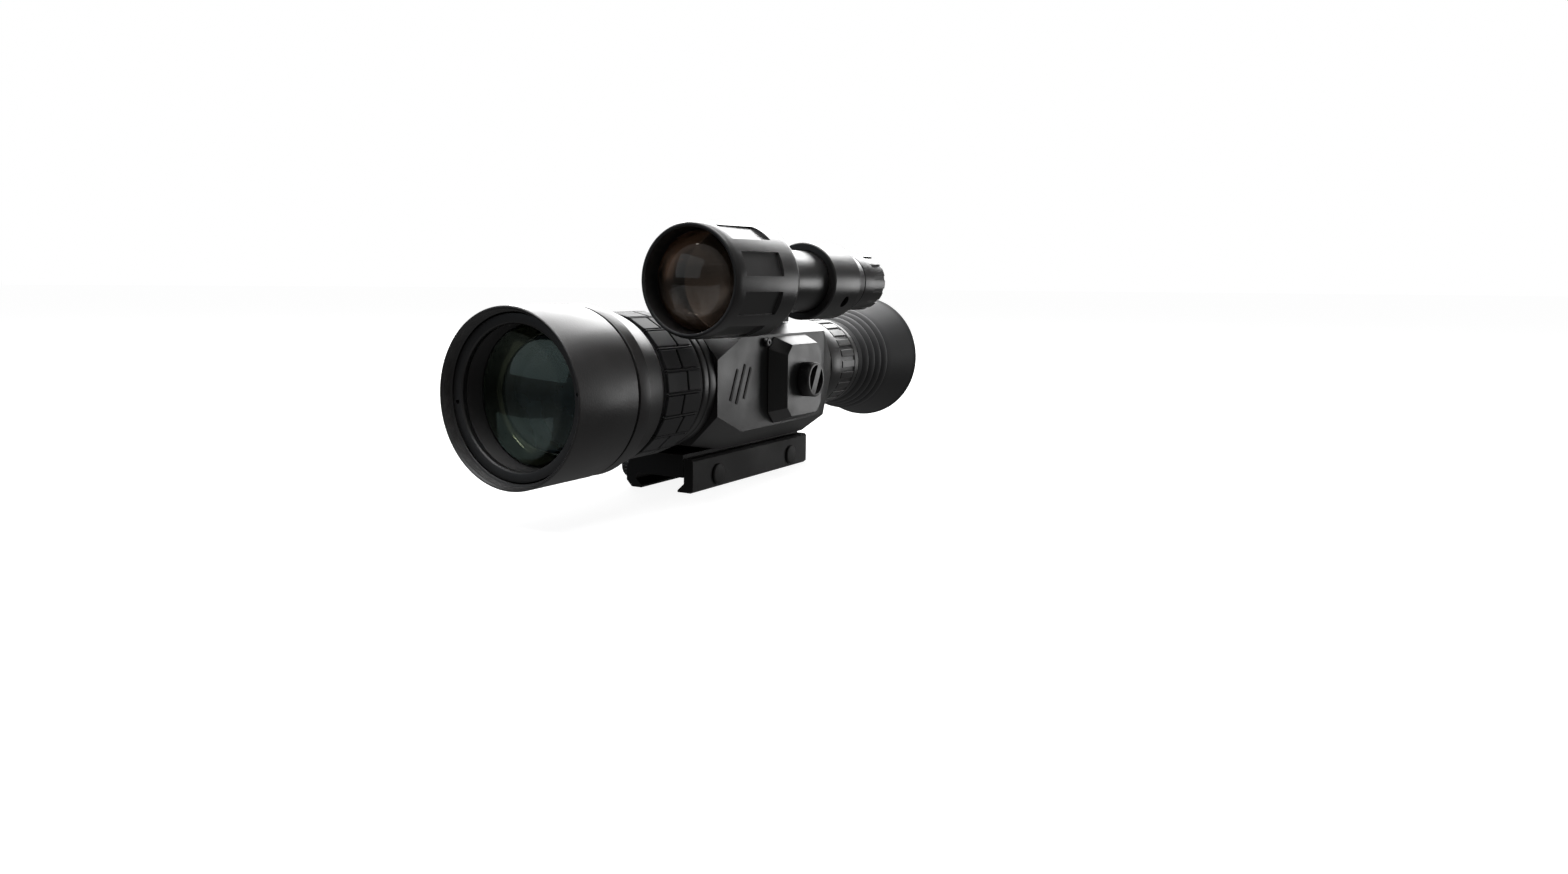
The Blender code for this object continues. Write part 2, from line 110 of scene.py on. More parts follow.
def place_mesh(name, bm, recalc=True):
    """Turn a bmesh into an object in the scene."""
    if recalc:
        bmesh.ops.recalc_face_normals(bm, faces=bm.faces)
    mesh = bpy.data.meshes.new(name)
    bm.to_mesh(mesh)
    bm.free()
    obj = bpy.data.objects.new(name, mesh)
    bpy.context.scene.collection.objects.link(obj)
    return obj


def axis_turn(axis):
    """The turn that takes local Z onto an axis."""
    if axis == "X":
        return Matrix.Rotation(math.pi / 2, 4, "Y")
    if axis == "Y":
        return Matrix.Rotation(-math.pi / 2, 4, "X")
    return Matrix.Identity(4)


def axis_place(axis, centre):
    """The move that takes the origin onto an axis through centre, in x, y, z order."""
    first, second = centre
    spots = {"X": (0, first, second), "Y": (first, 0, second), "Z": (first, second, 0)}
    return Matrix.Translation(mm(spots[axis]))


def smooth_corners(profile, radius, closed):
    """Round every corner of a profile a little, so that turned edges catch the light."""
    if radius <= 0:
        return profile
    out = []
    count = len(profile)
    for i, point in enumerate(profile):
        if not closed and i in (0, count - 1):
            out.append(point)
            continue
        here = Vector(point)
        back = Vector(profile[i - 1]) - here
        ahead = Vector(profile[(i + 1) % count]) - here
        reach = min(radius, back.length * 0.4, ahead.length * 0.4)
        if back.length < 1e-6 or ahead.length < 1e-6 or back.angle(ahead) > math.radians(168):
            out.append(point)
            continue
        start, end = here + back.normalized() * reach, here + ahead.normalized() * reach
        for t in (0.0, 0.35, 0.65, 1.0):
            point = start * (1 - t) ** 2 + here * 2 * t * (1 - t) + end * t**2
            out.append(tuple(point))
    return out


def lathe(name, profile, centre=OPTICAL, axis="Y", steps=TURN_STEPS, closed=True, soft=0.25):
    """A turned mesh from (position along the axis, radius) points."""
    points = smooth_corners(profile, soft, closed)
    bm = bmesh.new()
    rings = []
    for along, radius in points:
        if radius < 1e-4:
            rings.append([bm.verts.new((0, 0, mm(along)))])
            continue
        ring = []
        for i in range(steps):
            a = math.tau * i / steps
            ring.append(bm.verts.new((mm(radius * math.cos(a)), mm(radius * math.sin(a)), mm(along))))
        rings.append(ring)
    pairs = list(zip(rings, rings[1:]))
    if closed:
        pairs.append((rings[-1], rings[0]))
    for low, high in pairs:
        for i in range(steps):
            j = (i + 1) % steps
            corners = [low[i % len(low)], low[j % len(low)], high[j % len(high)], high[i % len(high)]]
            corners = list(dict.fromkeys(corners))
            if len(corners) > 2:
                bm.faces.new(corners)
    bmesh.ops.transform(bm, matrix=axis_place(axis, centre) @ axis_turn(axis), verts=bm.verts)
    obj = place_mesh(name, bm)
    tidy_shading(obj)
    return obj


def block(bm, size, matrix):
    """Add a box to a bmesh and give back its corners."""
    made = bmesh.ops.create_cube(bm, size=1.0)["verts"]
    bmesh.ops.scale(bm, vec=Vector(mm(size)), verts=made)
    bmesh.ops.transform(bm, matrix=matrix, verts=made)
    return made


def radial(centre, angle_deg, radius, along):
    """A frame standing on a Y axis at an angle, with its X pointing outwards."""
    spin = Matrix.Rotation(-math.radians(angle_deg), 4, "Y")
    return axis_place("Y", centre) @ spin @ Matrix.Translation(mm((radius, along, 0)))


def freeze(obj, angle=38):
    """Apply the modifiers, then shade by angle."""
    graph = bpy.context.evaluated_depsgraph_get()
    graph.update()
    mesh = bpy.data.meshes.new_from_object(obj.evaluated_get(graph))
    obj.modifiers.clear()
    obj.data = mesh
    tidy_shading(obj, angle)


def carve(obj, *cutters, operation="DIFFERENCE"):
    """Cut other meshes away from a piece, or join them to it, and remove them."""
    for cutter in cutters:
        modifier = obj.modifiers.new("cut", "BOOLEAN")
        modifier.operation = operation
        modifier.object = cutter
        modifier.solver = "EXACT"
    bpy.context.view_layer.update()
    freeze(obj)
    for cutter in cutters:
        bpy.data.objects.remove(cutter)


def bevelled(obj, width, segments=3, angle=28):
    """Round the sharp edges, and shade the flat faces flat."""
    modifier = obj.modifiers.new("edges", "BEVEL")
    modifier.width = mm(width)
    modifier.segments = segments
    modifier.limit_method = "ANGLE"
    modifier.angle_limit = math.radians(angle)
    modifier.use_clamp_overlap = True
    freeze(obj, 50)
    weights = obj.modifiers.new("weights", "WEIGHTED_NORMAL")
    weights.keep_sharp = True
    weights.weight = 100
    return obj


def settle(obj, body, look, slot, *nodes):
    """Finish a piece: its material, the body it rides on, and the nodes it stands for."""
    obj.data.materials.clear()
    obj.data.materials.append(look)
    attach(obj, body)
    if nodes:
        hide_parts(*nodes)


def refined(node, width, segments=3):
    """A copy of a part's own solid, with clean faces and rounded edges."""
    bm = bmesh.new()
    bm.from_mesh(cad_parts[node].data)
    bmesh.ops.remove_doubles(bm, verts=bm.verts, dist=2e-6)
    bmesh.ops.dissolve_limit(bm, angle_limit=math.radians(1.0), verts=bm.verts, edges=bm.edges)
    obj = place_mesh(node + "_skin", bm)
    return bevelled(obj, width, segments)


# Materials


def noise(tree, source, scale, detail, rough=0.55):
    node = tree.nodes.new("ShaderNodeTexNoise")
    node.inputs["Scale"].default_value = scale
    node.inputs["Detail"].default_value = detail
    node.inputs["Roughness"].default_value = rough
    tree.links.new(source, node.inputs["Vector"])
    return node.outputs["Fac"]


def spread(tree, source, low, high, out_low, out_high):
    """Stretch the range low to high onto the range out_low to out_high."""
    node = tree.nodes.new("ShaderNodeMapRange")
    for key, value in (("From Min", low), ("From Max", high), ("To Min", out_low), ("To Max", out_high)):
        node.inputs[key].default_value = value
    tree.links.new(source, node.inputs["Value"])
    return node.outputs["Result"]


def blend_colours(tree, factor, first, second):
    node = tree.nodes.new("ShaderNodeMix")
    node.data_type = "RGBA"
    tree.links.new(factor, node.inputs["Factor"])
    for key, value in ((FIRST_COLOUR, first), (SECOND_COLOUR, second)):
        if isinstance(value, tuple):
            node.inputs[key].default_value = (*value, 1.0)
        else:
            tree.links.new(value, node.inputs[key])
    return node.outputs[MIXED_COLOUR]


def maths(tree, operation, first, second):
    """One sum on two numbers or sockets, kept between 0 and 1."""
    node = tree.nodes.new("ShaderNodeMath")
    node.operation = operation
    node.use_clamp = True
    for socket, value in zip(node.inputs, (first, second)):
        if isinstance(value, (int, float)):
            socket.default_value = value
        else:
            tree.links.new(value, socket)
    return node.outputs[0]


def edge_mask(tree, radius):
    """Near 1 on worn outside edges, 0 on flat faces."""
    rounded = tree.nodes.new("ShaderNodeBevel")
    rounded.samples = 4
    rounded.inputs["Radius"].default_value = mm(radius)
    shape = tree.nodes.new("ShaderNodeNewGeometry")
    dot = tree.nodes.new("ShaderNodeVectorMath")
    dot.operation = "DOT_PRODUCT"
    tree.links.new(rounded.outputs["Normal"], dot.inputs[0])
    tree.links.new(shape.outputs["Normal"], dot.inputs[1])
    return spread(tree, dot.outputs["Value"], 0.985, 0.86, 0.0, 1.0)


def surface(name, colour, worn, roughness, metallic=0.0, grain=1500.0, depth=0.02,
            wear=0.5, specular=0.5, sheen=0.0):
    """A moulded, painted or blasted surface: grain, mottling, specks and worn edges."""
    made = bpy.data.materials.new(name)
    made.use_nodes = True
    tree = made.node_tree
    shader = tree.nodes["Principled BSDF"]
    spot = tree.nodes.new("ShaderNodeTexCoord").outputs["Object"]
    fine = noise(tree, spot, grain, 2.0)
    broad = noise(tree, spot, MOTTLE_SCALE, 4.0)
    scuffs = noise(tree, spot, SCUFF_SCALE, 6.0, 0.7)
    darker = tuple(c * 0.78 for c in colour)
    lighter = tuple(min(1.0, c * 1.28) for c in colour)
    base = blend_colours(tree, spread(tree, broad, 0.3, 0.7, 0.0, 1.0), darker, lighter)
    speckle = spread(tree, fine, 0.62, 0.8, 0.0, 0.35)
    base = blend_colours(tree, speckle, base, tuple(min(1.0, c * 1.9) for c in colour))
    if wear:
        broken = spread(tree, scuffs, 0.42, 0.62, 0.15, 1.0)
        mask = maths(tree, "MULTIPLY", edge_mask(tree, 0.5), broken)
        mask = maths(tree, "MULTIPLY", mask, wear)
        base = blend_colours(tree, mask, base, worn)
    tree.links.new(base, shader.inputs["Base Color"])
    rough = spread(tree, broad, 0.3, 0.7, roughness - 0.05, roughness + 0.06)
    tree.links.new(rough, shader.inputs["Roughness"])
    bump = tree.nodes.new("ShaderNodeBump")
    bump.inputs["Strength"].default_value = 0.55
    bump.inputs["Distance"].default_value = mm(depth)
    tree.links.new(fine, bump.inputs["Height"])
    tree.links.new(bump.outputs["Normal"], shader.inputs["Normal"])
    shader.inputs["Metallic"].default_value = metallic
    shader.inputs["Specular IOR Level"].default_value = specular
    shader.inputs["Sheen Weight"].default_value = sheen
    return made


def glass(name, colour, roughness, transmission, coat_tint=(1.0, 1.0, 1.0), ior=1.5):
    """A polished lens with faint smears and a coloured coating."""
    made = bpy.data.materials.new(name)
    made.use_nodes = True
    tree = made.node_tree
    shader = tree.nodes["Principled BSDF"]
    spot = tree.nodes.new("ShaderNodeTexCoord").outputs["Object"]
    smear = noise(tree, spot, 60.0, 5.0)
    rim = tuple(c * 0.7 for c in colour)
    tint = blend_colours(tree, spread(tree, smear, 0.35, 0.65, 0.0, 1.0), rim, colour)
    tree.links.new(tint, shader.inputs["Base Color"])
    shader.inputs["Roughness"].default_value = roughness
    shader.inputs["Transmission Weight"].default_value = transmission
    shader.inputs["IOR"].default_value = ior
    shader.inputs["Specular Tint"].default_value = (*coat_tint, 1.0)
    return made


BLACK_ALLOY = surface("blasted_black_alloy", (0.016, 0.015, 0.015), (0.2, 0.195, 0.19), 0.43, 0.15,
                      grain=1500, depth=0.07, wear=0.35, specular=0.75)
TORCH_ALLOY = surface("torch_black_alloy", (0.013, 0.012, 0.012), (0.2, 0.195, 0.19), 0.36, 0.1,
                      grain=1500, depth=0.05, wear=0.35, specular=0.5)
CLAMP_ALLOY = surface("clamp_black_alloy", (0.007, 0.006, 0.006), (0.13, 0.125, 0.12), 0.50, 0.1,
                      grain=1700, depth=0.03, wear=0.45, specular=0.3)
SHELL = surface("moulded_black_shell", (0.010, 0.009, 0.009), (0.1, 0.095, 0.09), 0.44,
                grain=1900, depth=0.06, wear=0.25, specular=0.7)
RUBBER = surface("matte_black_rubber", (0.011, 0.011, 0.012), (0.05, 0.05, 0.05), 0.62,
                 grain=2200, depth=0.03, wear=0.12, specular=0.4, sheen=0.06)
STEEL = surface("blackened_steel", (0.05, 0.05, 0.05), (0.35, 0.35, 0.34), 0.36, 0.85,
                grain=900, depth=0.02, wear=0.6)
INNER_BLACK = surface("baffle_black", (0.012, 0.011, 0.011), (0.03, 0.03, 0.03), 0.55,
                      grain=1200, depth=0.02, wear=0.0, specular=0.5)
REFLECTOR = surface("torch_reflector", (0.36, 0.28, 0.23), (0.4, 0.3, 0.25), 0.16, 1.0,
                    grain=500, depth=0.01, wear=0.0)
BOARD = surface("board_green", (0.02, 0.11, 0.045), (0.3, 0.2, 0.08), 0.45,
                grain=800, depth=0.03, wear=0.2)
WRAP = surface("cell_wrap", (0.13, 0.13, 0.15), (0.3, 0.3, 0.3), 0.3,
               grain=500, depth=0.01, wear=0.2)
FRONT_GLASS = glass("front_glass", (0.93, 0.96, 0.92), 0.0, 1.0, (0.8, 1.0, 0.85))
DEEP_GLASS = glass("deep_glass", (0.03, 0.045, 0.055), 0.03, 0.0, (0.7, 0.85, 1.0), 1.9)
OLIVE_GLASS = glass("olive_glass", (0.012, 0.014, 0.008), 0.06, 0.0, (0.8, 0.9, 0.6), 1.8)
TORCH_GLASS = glass("torch_glass", (0.95, 0.9, 0.85), 0.0, 1.0, (1.0, 0.93, 0.85))
EYE_GLASS = glass("eye_glass", (0.03, 0.03, 0.045), 0.03, 0.0, (0.8, 0.7, 1.0), 1.8)


# Objective end


def bell():
    turns, pitch, rise = 6, 0.55, 0.27
    threads = []
    for i in range(turns):
        along = BELL_FRONT + 0.8 + i * pitch
        threads += [(along, 30.3), (along + rise, 29.9)]
    groove_front, groove_rear, groove_r, bore_r = -104.9, -103.3, BELL_R - 1.2, 29.3
    outside = [
        (BELL_FRONT, BELL_R - 0.5), (BELL_FRONT + 0.4, BELL_R), (groove_front, BELL_R),
        (groove_front, groove_r), (groove_rear, groove_r), (groove_rear, BELL_R - 0.2),
        (-97.5, BELL_R), (-96.9, BELL_R - 0.5), (-88.0, 29.3), (BELL_REAR, 28.4),
        (BELL_REAR, TUBE_CLEARANCE_R), (-110.4, TUBE_CLEARANCE_R), (-117.5, bore_r), (-132.8, bore_r),
    ]
    obj = lathe("bell_shell", outside + threads[::-1], steps=192)
    settle(obj, "body", BLACK_ALLOY, "anodised_alloy", "objective_bell")


def retaining_ring():
    ring = lathe("retaining_ring_turned", [
        (-132.6, 28.9), (-129.5, 28.9), (-129.5, 25.4), (-131.6, 25.2), (-132.3, 25.7),
    ], steps=160)
    holes, hole_circle, tilt = [], 27.2, math.radians(-6)
    for side in (-1, 1):
        reach = side * hole_circle
        centre = (reach * math.cos(tilt), OPTICAL[1] - reach * math.sin(tilt))
        holes.append(lathe(f"hole_{side}", [(-134, 0), (-134, 0.85), (-131, 0.85), (-131, 0)],
                           centre, steps=24, closed=False, soft=0))
    carve(ring, *holes)
    settle(ring, "body", BLACK_ALLOY, "anodised_alloy", "lens_retaining_ring")


def dome(front, edge, rim, count=14):
    """Points of a spherical face from the axis at front to the rim at edge."""
    sag = edge - front
    curve = (rim * rim + sag * sag) / (2 * abs(sag))
    points = []
    for i in range(count):
        r = rim * i / (count - 1)
        depth = curve - math.sqrt(curve * curve - r * r)
        points.append((front + math.copysign(depth, sag), r))
    return points


def objective_glass():
    front_r, inner_r = 25.2, 17.9
    front, rear = dome(-127.4, -121.6, front_r), dome(-119.4, -120.6, front_r)
    obj = lathe("front_element", front + rear[::-1], closed=False, soft=0)
    settle(obj, "body", FRONT_GLASS, "coated_glass", "objective_lens")
    face = dome(-117.6, -113.2, inner_r)
    deep = lathe("inner_element", face + [(-112.0, inner_r), (-112.0, 0)], closed=False, soft=0)
    settle(deep, "body", DEEP_GLASS, "coated_glass")
    fall, samples = 7.0, 10
    bowl = []
    for i in range(samples + 1):
        t = i / samples
        bowl.append((-120.4 + fall * t**0.8, 25.1 - fall * t))
    back = [(-112.4, 18.1), (-112.4, 20.0), (-119.4, 25.1)]
    middle = lathe("middle_element", bowl + back, soft=0)
    settle(middle, "body", OLIVE_GLASS, "coated_glass")


def baffle():
    """Grooves in front of the lens that stop stray light."""
    count, pitch = 8, 0.95
    grooves = []
    for i in range(count):
        along = -129.2 + i * pitch
        grooves += [(along, 25.9), (along + 0.5, 25.45)]
    rest = [(-121.2, 25.4), (-119.2, 25.4), (-119.2, 28.0), (-129.3, 28.9)]
    ring = lathe("lens_baffle", grooves + rest, soft=0)
    settle(ring, "body", INNER_BLACK, "anodised_alloy")


def focus_ring():
    base = lathe("focus_ring_core", [
        (FOCUS_FRONT, 26.2), (FOCUS_FRONT + 0.4, 26.8), (FOCUS_REAR - 0.6, 27.0), (FOCUS_REAR, 26.5),
        (FOCUS_REAR, TUBE_CLEARANCE_R), (FOCUS_FRONT, TUBE_CLEARANCE_R),
    ])
    settle(base, "focus_ring", RUBBER, "soft_rubber", "focus_ring")
    count, first_deg = 20, 6.0
    pitch = 360 / count
    bm = bmesh.new()
    for i in range(count):
        angle = first_deg + i * pitch
        split = -71.4 if i % 2 else -68.9
        spans = ((FOCUS_FRONT + 0.3, split - 0.5), (split + 0.5, FOCUS_REAR - 3.6))
        for start, end in spans:
            spot = radial(OPTICAL, angle, 27.3, (start + end) / 2)
            block(bm, (1.5, end - start, 7.3), spot)
        spot = radial(OPTICAL, angle + pitch / 2, 27.55, -71.0)
        block(bm, (1.45, 22.0, 0.7), spot)
    pads = place_mesh("focus_ring_pads", bm)
    bevelled(pads, 0.3, 2)
    settle(pads, "focus_ring", RUBBER, "soft_rubber")


def collar():
    bore_r, groove_r = TUBE_CLEARANCE_R - 0.2, COLLAR_R - 0.6
    obj = lathe("collar_turned", [
        (COLLAR_FRONT, COLLAR_R - 0.5), (COLLAR_FRONT + 0.4, COLLAR_R), (-53.2, COLLAR_R),
        (-53.0, groove_r), (-52.2, groove_r), (-52.0, COLLAR_R), (COLLAR_REAR, COLLAR_R),
        (COLLAR_REAR, bore_r), (COLLAR_FRONT, bore_r),
    ])
    settle(obj, "body", BLACK_ALLOY, "anodised_alloy", "front_collar")


# Housing


def side_badge():
    """Three plain slanted bars on the side panel, a decoration that stands for no maker."""
    pitch, slant = 5.2, math.radians(-24)
    bm = bmesh.new()
    for i in (-1, 0, 1):
        length = 17.0 - 3.5 * abs(i)
        spot = Matrix.Translation(mm((SIDE_X + 0.05, -30.0 + i * pitch, 37.2)))
        block(bm, (0.5, 1.5, length), spot @ Matrix.Rotation(slant, 4, "X"))
    obj = place_mesh("side_badge", bm)
    bevelled(obj, 0.18, 2)
    settle(obj, "body", INNER_BLACK, "body_polymer")


def housing():
    settle(refined("housing", 0.7), "body", SHELL, "body_polymer", "housing")
    settle(refined("battery_door", 0.8), "battery_door", SHELL, "body_polymer", "battery_door")
    settle(refined("side_cover", 0.3), "body", SHELL, "body_polymer", "side_cover")
    settle(refined("usb_flap", 0.4), "usb_flap", RUBBER, "soft_rubber", "usb_flap")


def corner_screw():
    """A small screw beside the top front corner of the battery door."""
    centre, head_x, head_r, socket_r = (-10.6, 53.2), SIDE_X + 2.2, 1.9, 0.9
    screw = lathe("box_corner_screw", [
        (head_x, 0), (head_x, head_r - 0.3), (head_x - 0.4, head_r), (SIDE_X + 0.2, head_r),
        (SIDE_X + 0.2, 0),
    ], centre, "X", 32, closed=False, soft=0.15)
    socket = lathe("hex_socket", [
        (head_x - 0.8, 0), (head_x - 0.8, socket_r), (head_x + 0.4, socket_r), (head_x + 0.4, 0),
    ], centre, "X", 6, closed=False, soft=0)
    carve(screw, socket)
    settle(screw, "body", STEEL, "dark_steel")


def latch():
    stem_r, stem_x, under_x = 2.0, 30.0, 35.6
    knob = lathe("latch_turned", [
        (LATCH_FACE_X, 0), (LATCH_FACE_X, LATCH_R - 0.4), (LATCH_FACE_X - 0.4, LATCH_R),
        (under_x, LATCH_R), (under_x, stem_r), (stem_x, stem_r), (stem_x, 0),
    ], BAY, "X", 96, closed=False, soft=0.4)
    scoop_outline = [(37.2, 0), (37.2, 5.9), (42, 6.3), (42, 0)]
    scoop = lathe("scoop", scoop_outline, BAY, "X", 64, closed=False, soft=0)
    bar_turn = Matrix.Rotation(math.radians(-28), 4, "X")
    bm = bmesh.new()
    block(bm, (8, 3.6, 20), Matrix.Translation(mm((39.0, *BAY))) @ bar_turn)
    carve(scoop, place_mesh("thumb_bar", bm))
    carve(knob, scoop)
    settle(knob, "door_latch", SHELL, "body_polymer", "door_latch")


def keys():
    for name in ("power", "up", "down", "left", "right"):
        node = f"key_{name}"
        low, high = box_in_mm(node)
        centre, radius, top = (low + high) / 2, (high.x - low.x) / 2, high.z
        obj = lathe(f"{node}_cap", [
            (top - 0.15, 0), (top - 0.15, radius * 0.45), (top, radius - 0.7), (top - 0.5, radius),
            (low.z, radius), (low.z, 0),
        ], (centre.x, centre.y), "Z", 48, closed=False, soft=0.3)
        settle(obj, node, RUBBER, "soft_rubber", node)


# Eyepiece end


def diopter():
    front, rear, crest_r, groove_r = 66.4, 97.0, 21.2, 20.5
    ring = lathe("diopter_turned", [
        (front, 20.6), (70.8, crest_r), (76.6, crest_r), (77.0, groove_r), (91.0, groove_r),
        (91.4, crest_r), (93.2, crest_r), (94.0, 20.4), (rear, 20.4), (rear, EYE_CLEARANCE_R),
        (front, EYE_CLEARANCE_R),
    ])
    settle(ring, "diopter_ring", BLACK_ALLOY, "anodised_alloy", "diopter_ring")
    count = 24
    bm = bmesh.new()
    for i in range(count):
        block(bm, (1.2, 13.2, 3.4), radial(OPTICAL, i * 360 / count, 20.6, 84.0))
    pads = place_mesh("diopter_pads", bm)
    bevelled(pads, 0.3, 2)
    settle(pads, "diopter_ring", BLACK_ALLOY, "anodised_alloy")


def bellows(ribs=4, samples=10):
    """The ribbed front part of the eyecup's outline. Each rib is one arch of a sine."""
    pitch, widening, rib_height = 4.9, 1.25, 0.75
    points = []
    for i in range(ribs * samples + 1):
        t = i / samples
        wave = rib_height * abs(math.sin(math.pi * t)) ** 0.7
        points.append((100.6 + t * pitch, 21.2 + t * widening + wave - 0.35))
    return points


def eyecup():
    samples = 12
    steps = [i / samples for i in range(samples + 1)]
    outer = [(EYECUP_FRONT, 20.4), (99.6, 20.8)] + bellows()
    outer += [(120.4 + t * 22.6, 26.1 + 5.3 * t**1.05) for t in steps[1:]]
    outer += [(144.2, 31.95), (EYECUP_REAR, 31.7), (EYECUP_REAR - 0.05, 31.0)]
    inner = [(144.0 - t * 37.0, 30.6 - 11.4 * t**1.2) for t in steps]
    inner += [(105.0, EYE_CLEARANCE_R), (EYECUP_FRONT, EYE_CLEARANCE_R)]
    obj = lathe("eyecup_moulded", outer + inner, steps=160, soft=0.0)
    settle(obj, "body", RUBBER, "soft_rubber", "eyecup")


def eyepiece():
    front, rear, bore_r, lens_r = 33.6, 104.0, 15.6, 15.3
    tube = lathe("eyepiece_turned", [
        (front, EYE_TUBE_R), (rear, EYE_TUBE_R), (rear, bore_r + 0.8), (rear - 1.6, bore_r),
        (front, bore_r),
    ])
    settle(tube, "body", BLACK_ALLOY, "anodised_alloy", "eyepiece_tube")
    faces = dome(91.0, 93.0, lens_r) + dome(99.0, 96.6, lens_r)[::-1]
    lens = lathe("eye_element", faces, closed=False, soft=0)
    settle(lens, "eye_lens", EYE_GLASS, "coated_glass", "eye_lens")


# Clamp


def clamp():
    settle(refined("mount_base", 0.5), "body", CLAMP_ALLOY, "anodised_alloy", "mount_base")
    settle(refined("clamp_jaw", 0.6), "clamp_jaw", CLAMP_ALLOY, "anodised_alloy", "clamp_jaw")
    for label in ("front", "rear"):
        node = f"clamp_bolt_{label}"
        low, high = box_in_mm(node)
        centre = ((low.y + high.y) / 2, (low.z + high.z) / 2)
        face, under_x = high.x, 17.0
        bolt = lathe(f"{node}_turned", [
            (face, 0), (face, BOLT_HEAD_R - 0.4), (face - 0.3, BOLT_HEAD_R), (under_x, BOLT_HEAD_R),
            (under_x, BOLT_R), (BOLT_TIP_X + 0.6, BOLT_R), (BOLT_TIP_X, BOLT_R - 0.5), (BOLT_TIP_X, 0),
        ], centre, "X", 64, closed=False, soft=0.3)
        settle(bolt, "clamp_jaw", CLAMP_ALLOY, "dark_steel", node)
        thumb_nut(label, centre)


def thumb_nut(label, centre):
    node = f"clamp_nut_{label}"
    bore_r = BOLT_R + 0.3
    nut = lathe(f"{node}_turned", [
        (NUT_INNER_X, NUT_R - 0.5), (-17.6, NUT_R - 0.5), (-18.0, NUT_R), (NUT_OUTER_X + 0.6, NUT_R),
        (NUT_OUTER_X, NUT_R - 0.5), (NUT_OUTER_X, bore_r), (NUT_INNER_X, bore_r),
    ], centre, "X", 64)
    settle(nut, node, STEEL, "dark_steel", node)
    teeth, tooth_size, tooth_place = 24, (9.6, 0.8, 0.8), (-23.2, 0, NUT_R)
    bm = bmesh.new()
    for i in range(teeth):
        spin = Matrix.Rotation(math.tau * i / teeth, 4, "X")
        spot = axis_place("X", centre) @ spin @ Matrix.Translation(mm(tooth_place))
        block(bm, tooth_size, spot)
    knurl = place_mesh(f"{node}_knurl", bm)
    bevelled(knurl, 0.18, 1)
    settle(knurl, node, STEEL, "dark_steel")


# Torch


def torch_head():
    head_r, bore_r = 21.4, TORCH_TUBE_R + 0.4
    head = lathe("torch_head_turned", [
        (TORCH_FRONT, 19.7), (TORCH_FRONT + 0.3, 20.3), (-84.0, 20.6), (-82.6, 20.9), (-46.0, head_r),
        (-42.6, head_r), (-40.2, 20.6), (-38.8, 18.6), (TORCH_HEAD_REAR, bore_r), (-61.0, bore_r),
        (-70.0, 17.4), (-77.0, 18.6), (-84.4, 18.8), (-85.2, 18.9),
    ], TORCH, steps=180)
    count, first_deg, size, end_slope = 9, 17.0, (6.0, 30.2, 9.2), 2.2
    bm = bmesh.new()
    for i in range(count):
        spot = radial(TORCH, first_deg + i * 360 / count, 23.05, -66.6)
        inner = [v for v in block(bm, size, spot) if is_inner(v.co)]
        middle = sum((v.co for v in inner), Vector()) / len(inner)
        for v in inner:
            v.co.y += mm(-end_slope if v.co.y > middle.y else end_slope)
    carve(head, place_mesh("panel_cutters", bm))
    settle(head, "torch_head", TORCH_ALLOY, "anodised_alloy", "torch_head")


def is_inner(co):
    """True for the corners of a panel's cutter that face the torch's axis."""
    x, z = mm(TORCH)
    split_r = 21.6
    return math.hypot(co.x - x, co.z - z) < mm(split_r)


def torch_optics():
    face, back = dome(-86.3, -78.2, TORCH_LENS_R, 18), -76.6
    lens = lathe("torch_dome", face + [(back, TORCH_LENS_R), (back, 0)], TORCH, closed=False, soft=0)
    settle(lens, "torch_head", TORCH_GLASS, "coated_glass", "torch_lens")
    cup = lathe("torch_cup", [
        (-76.2, 18.2), (-70.6, 16.9), (-64.0, 12.4), (-63.2, 4.0), (-62.9, 4.0), (-62.9, 12.9),
        (-70.2, 17.3), (-75.9, 18.5),
    ], TORCH, soft=0.1)
    settle(cup, "torch_head", REFLECTOR, "anodised_alloy")


def torch_body():
    front, rear, bore_r = -62.0, 36.0, 11.2
    outline = [(front, TORCH_TUBE_R), (rear, TORCH_TUBE_R), (rear, bore_r), (front, bore_r)]
    tube = lathe("torch_tube_turned", outline, TORCH)
    settle(tube, "body", TORCH_ALLOY, "anodised_alloy", "torch_tube")


def tail_cap():
    hole_r, bore_r, floor_y = 5.4, 9.8, 52.0
    cap = lathe("tail_cap_turned", [
        (TAIL_FRONT, TORCH_TUBE_R - 0.4), (TAIL_FRONT + 0.4, TORCH_TUBE_R), (57.4, TORCH_TUBE_R),
        (58.4, 12.2), (TAIL_REAR, 11.2), (TAIL_REAR, hole_r), (floor_y, hole_r), (floor_y, bore_r),
        (TAIL_FRONT, bore_r),
    ], TORCH)
    count, first_deg, size = 14, 8, (2.2, 13.0, 2.0)
    bm = bmesh.new()
    for i in range(count):
        block(bm, size, radial(TORCH, first_deg + i * 360 / count, 12.9, 53.0))
    carve(cap, place_mesh("slot_cutters", bm))
    settle(cap, "tail_cap", TORCH_ALLOY, "anodised_alloy", "tail_cap")


def tail_button():
    button_r, flange_r, flange_front, flange_rear = 5.0, 8.0, 49.8, 51.7
    button = lathe("tail_button_moulded", [
        (59.75, 0), (59.6, 2.6), (59.0, 4.6), (58.2, button_r), (flange_rear, button_r),
        (flange_rear, flange_r), (flange_front, flange_r), (flange_front, 0),
    ], TORCH, "Y", 64, closed=False, soft=0.25)
    settle(button, "tail_button", RUBBER, "soft_rubber", "tail_button")


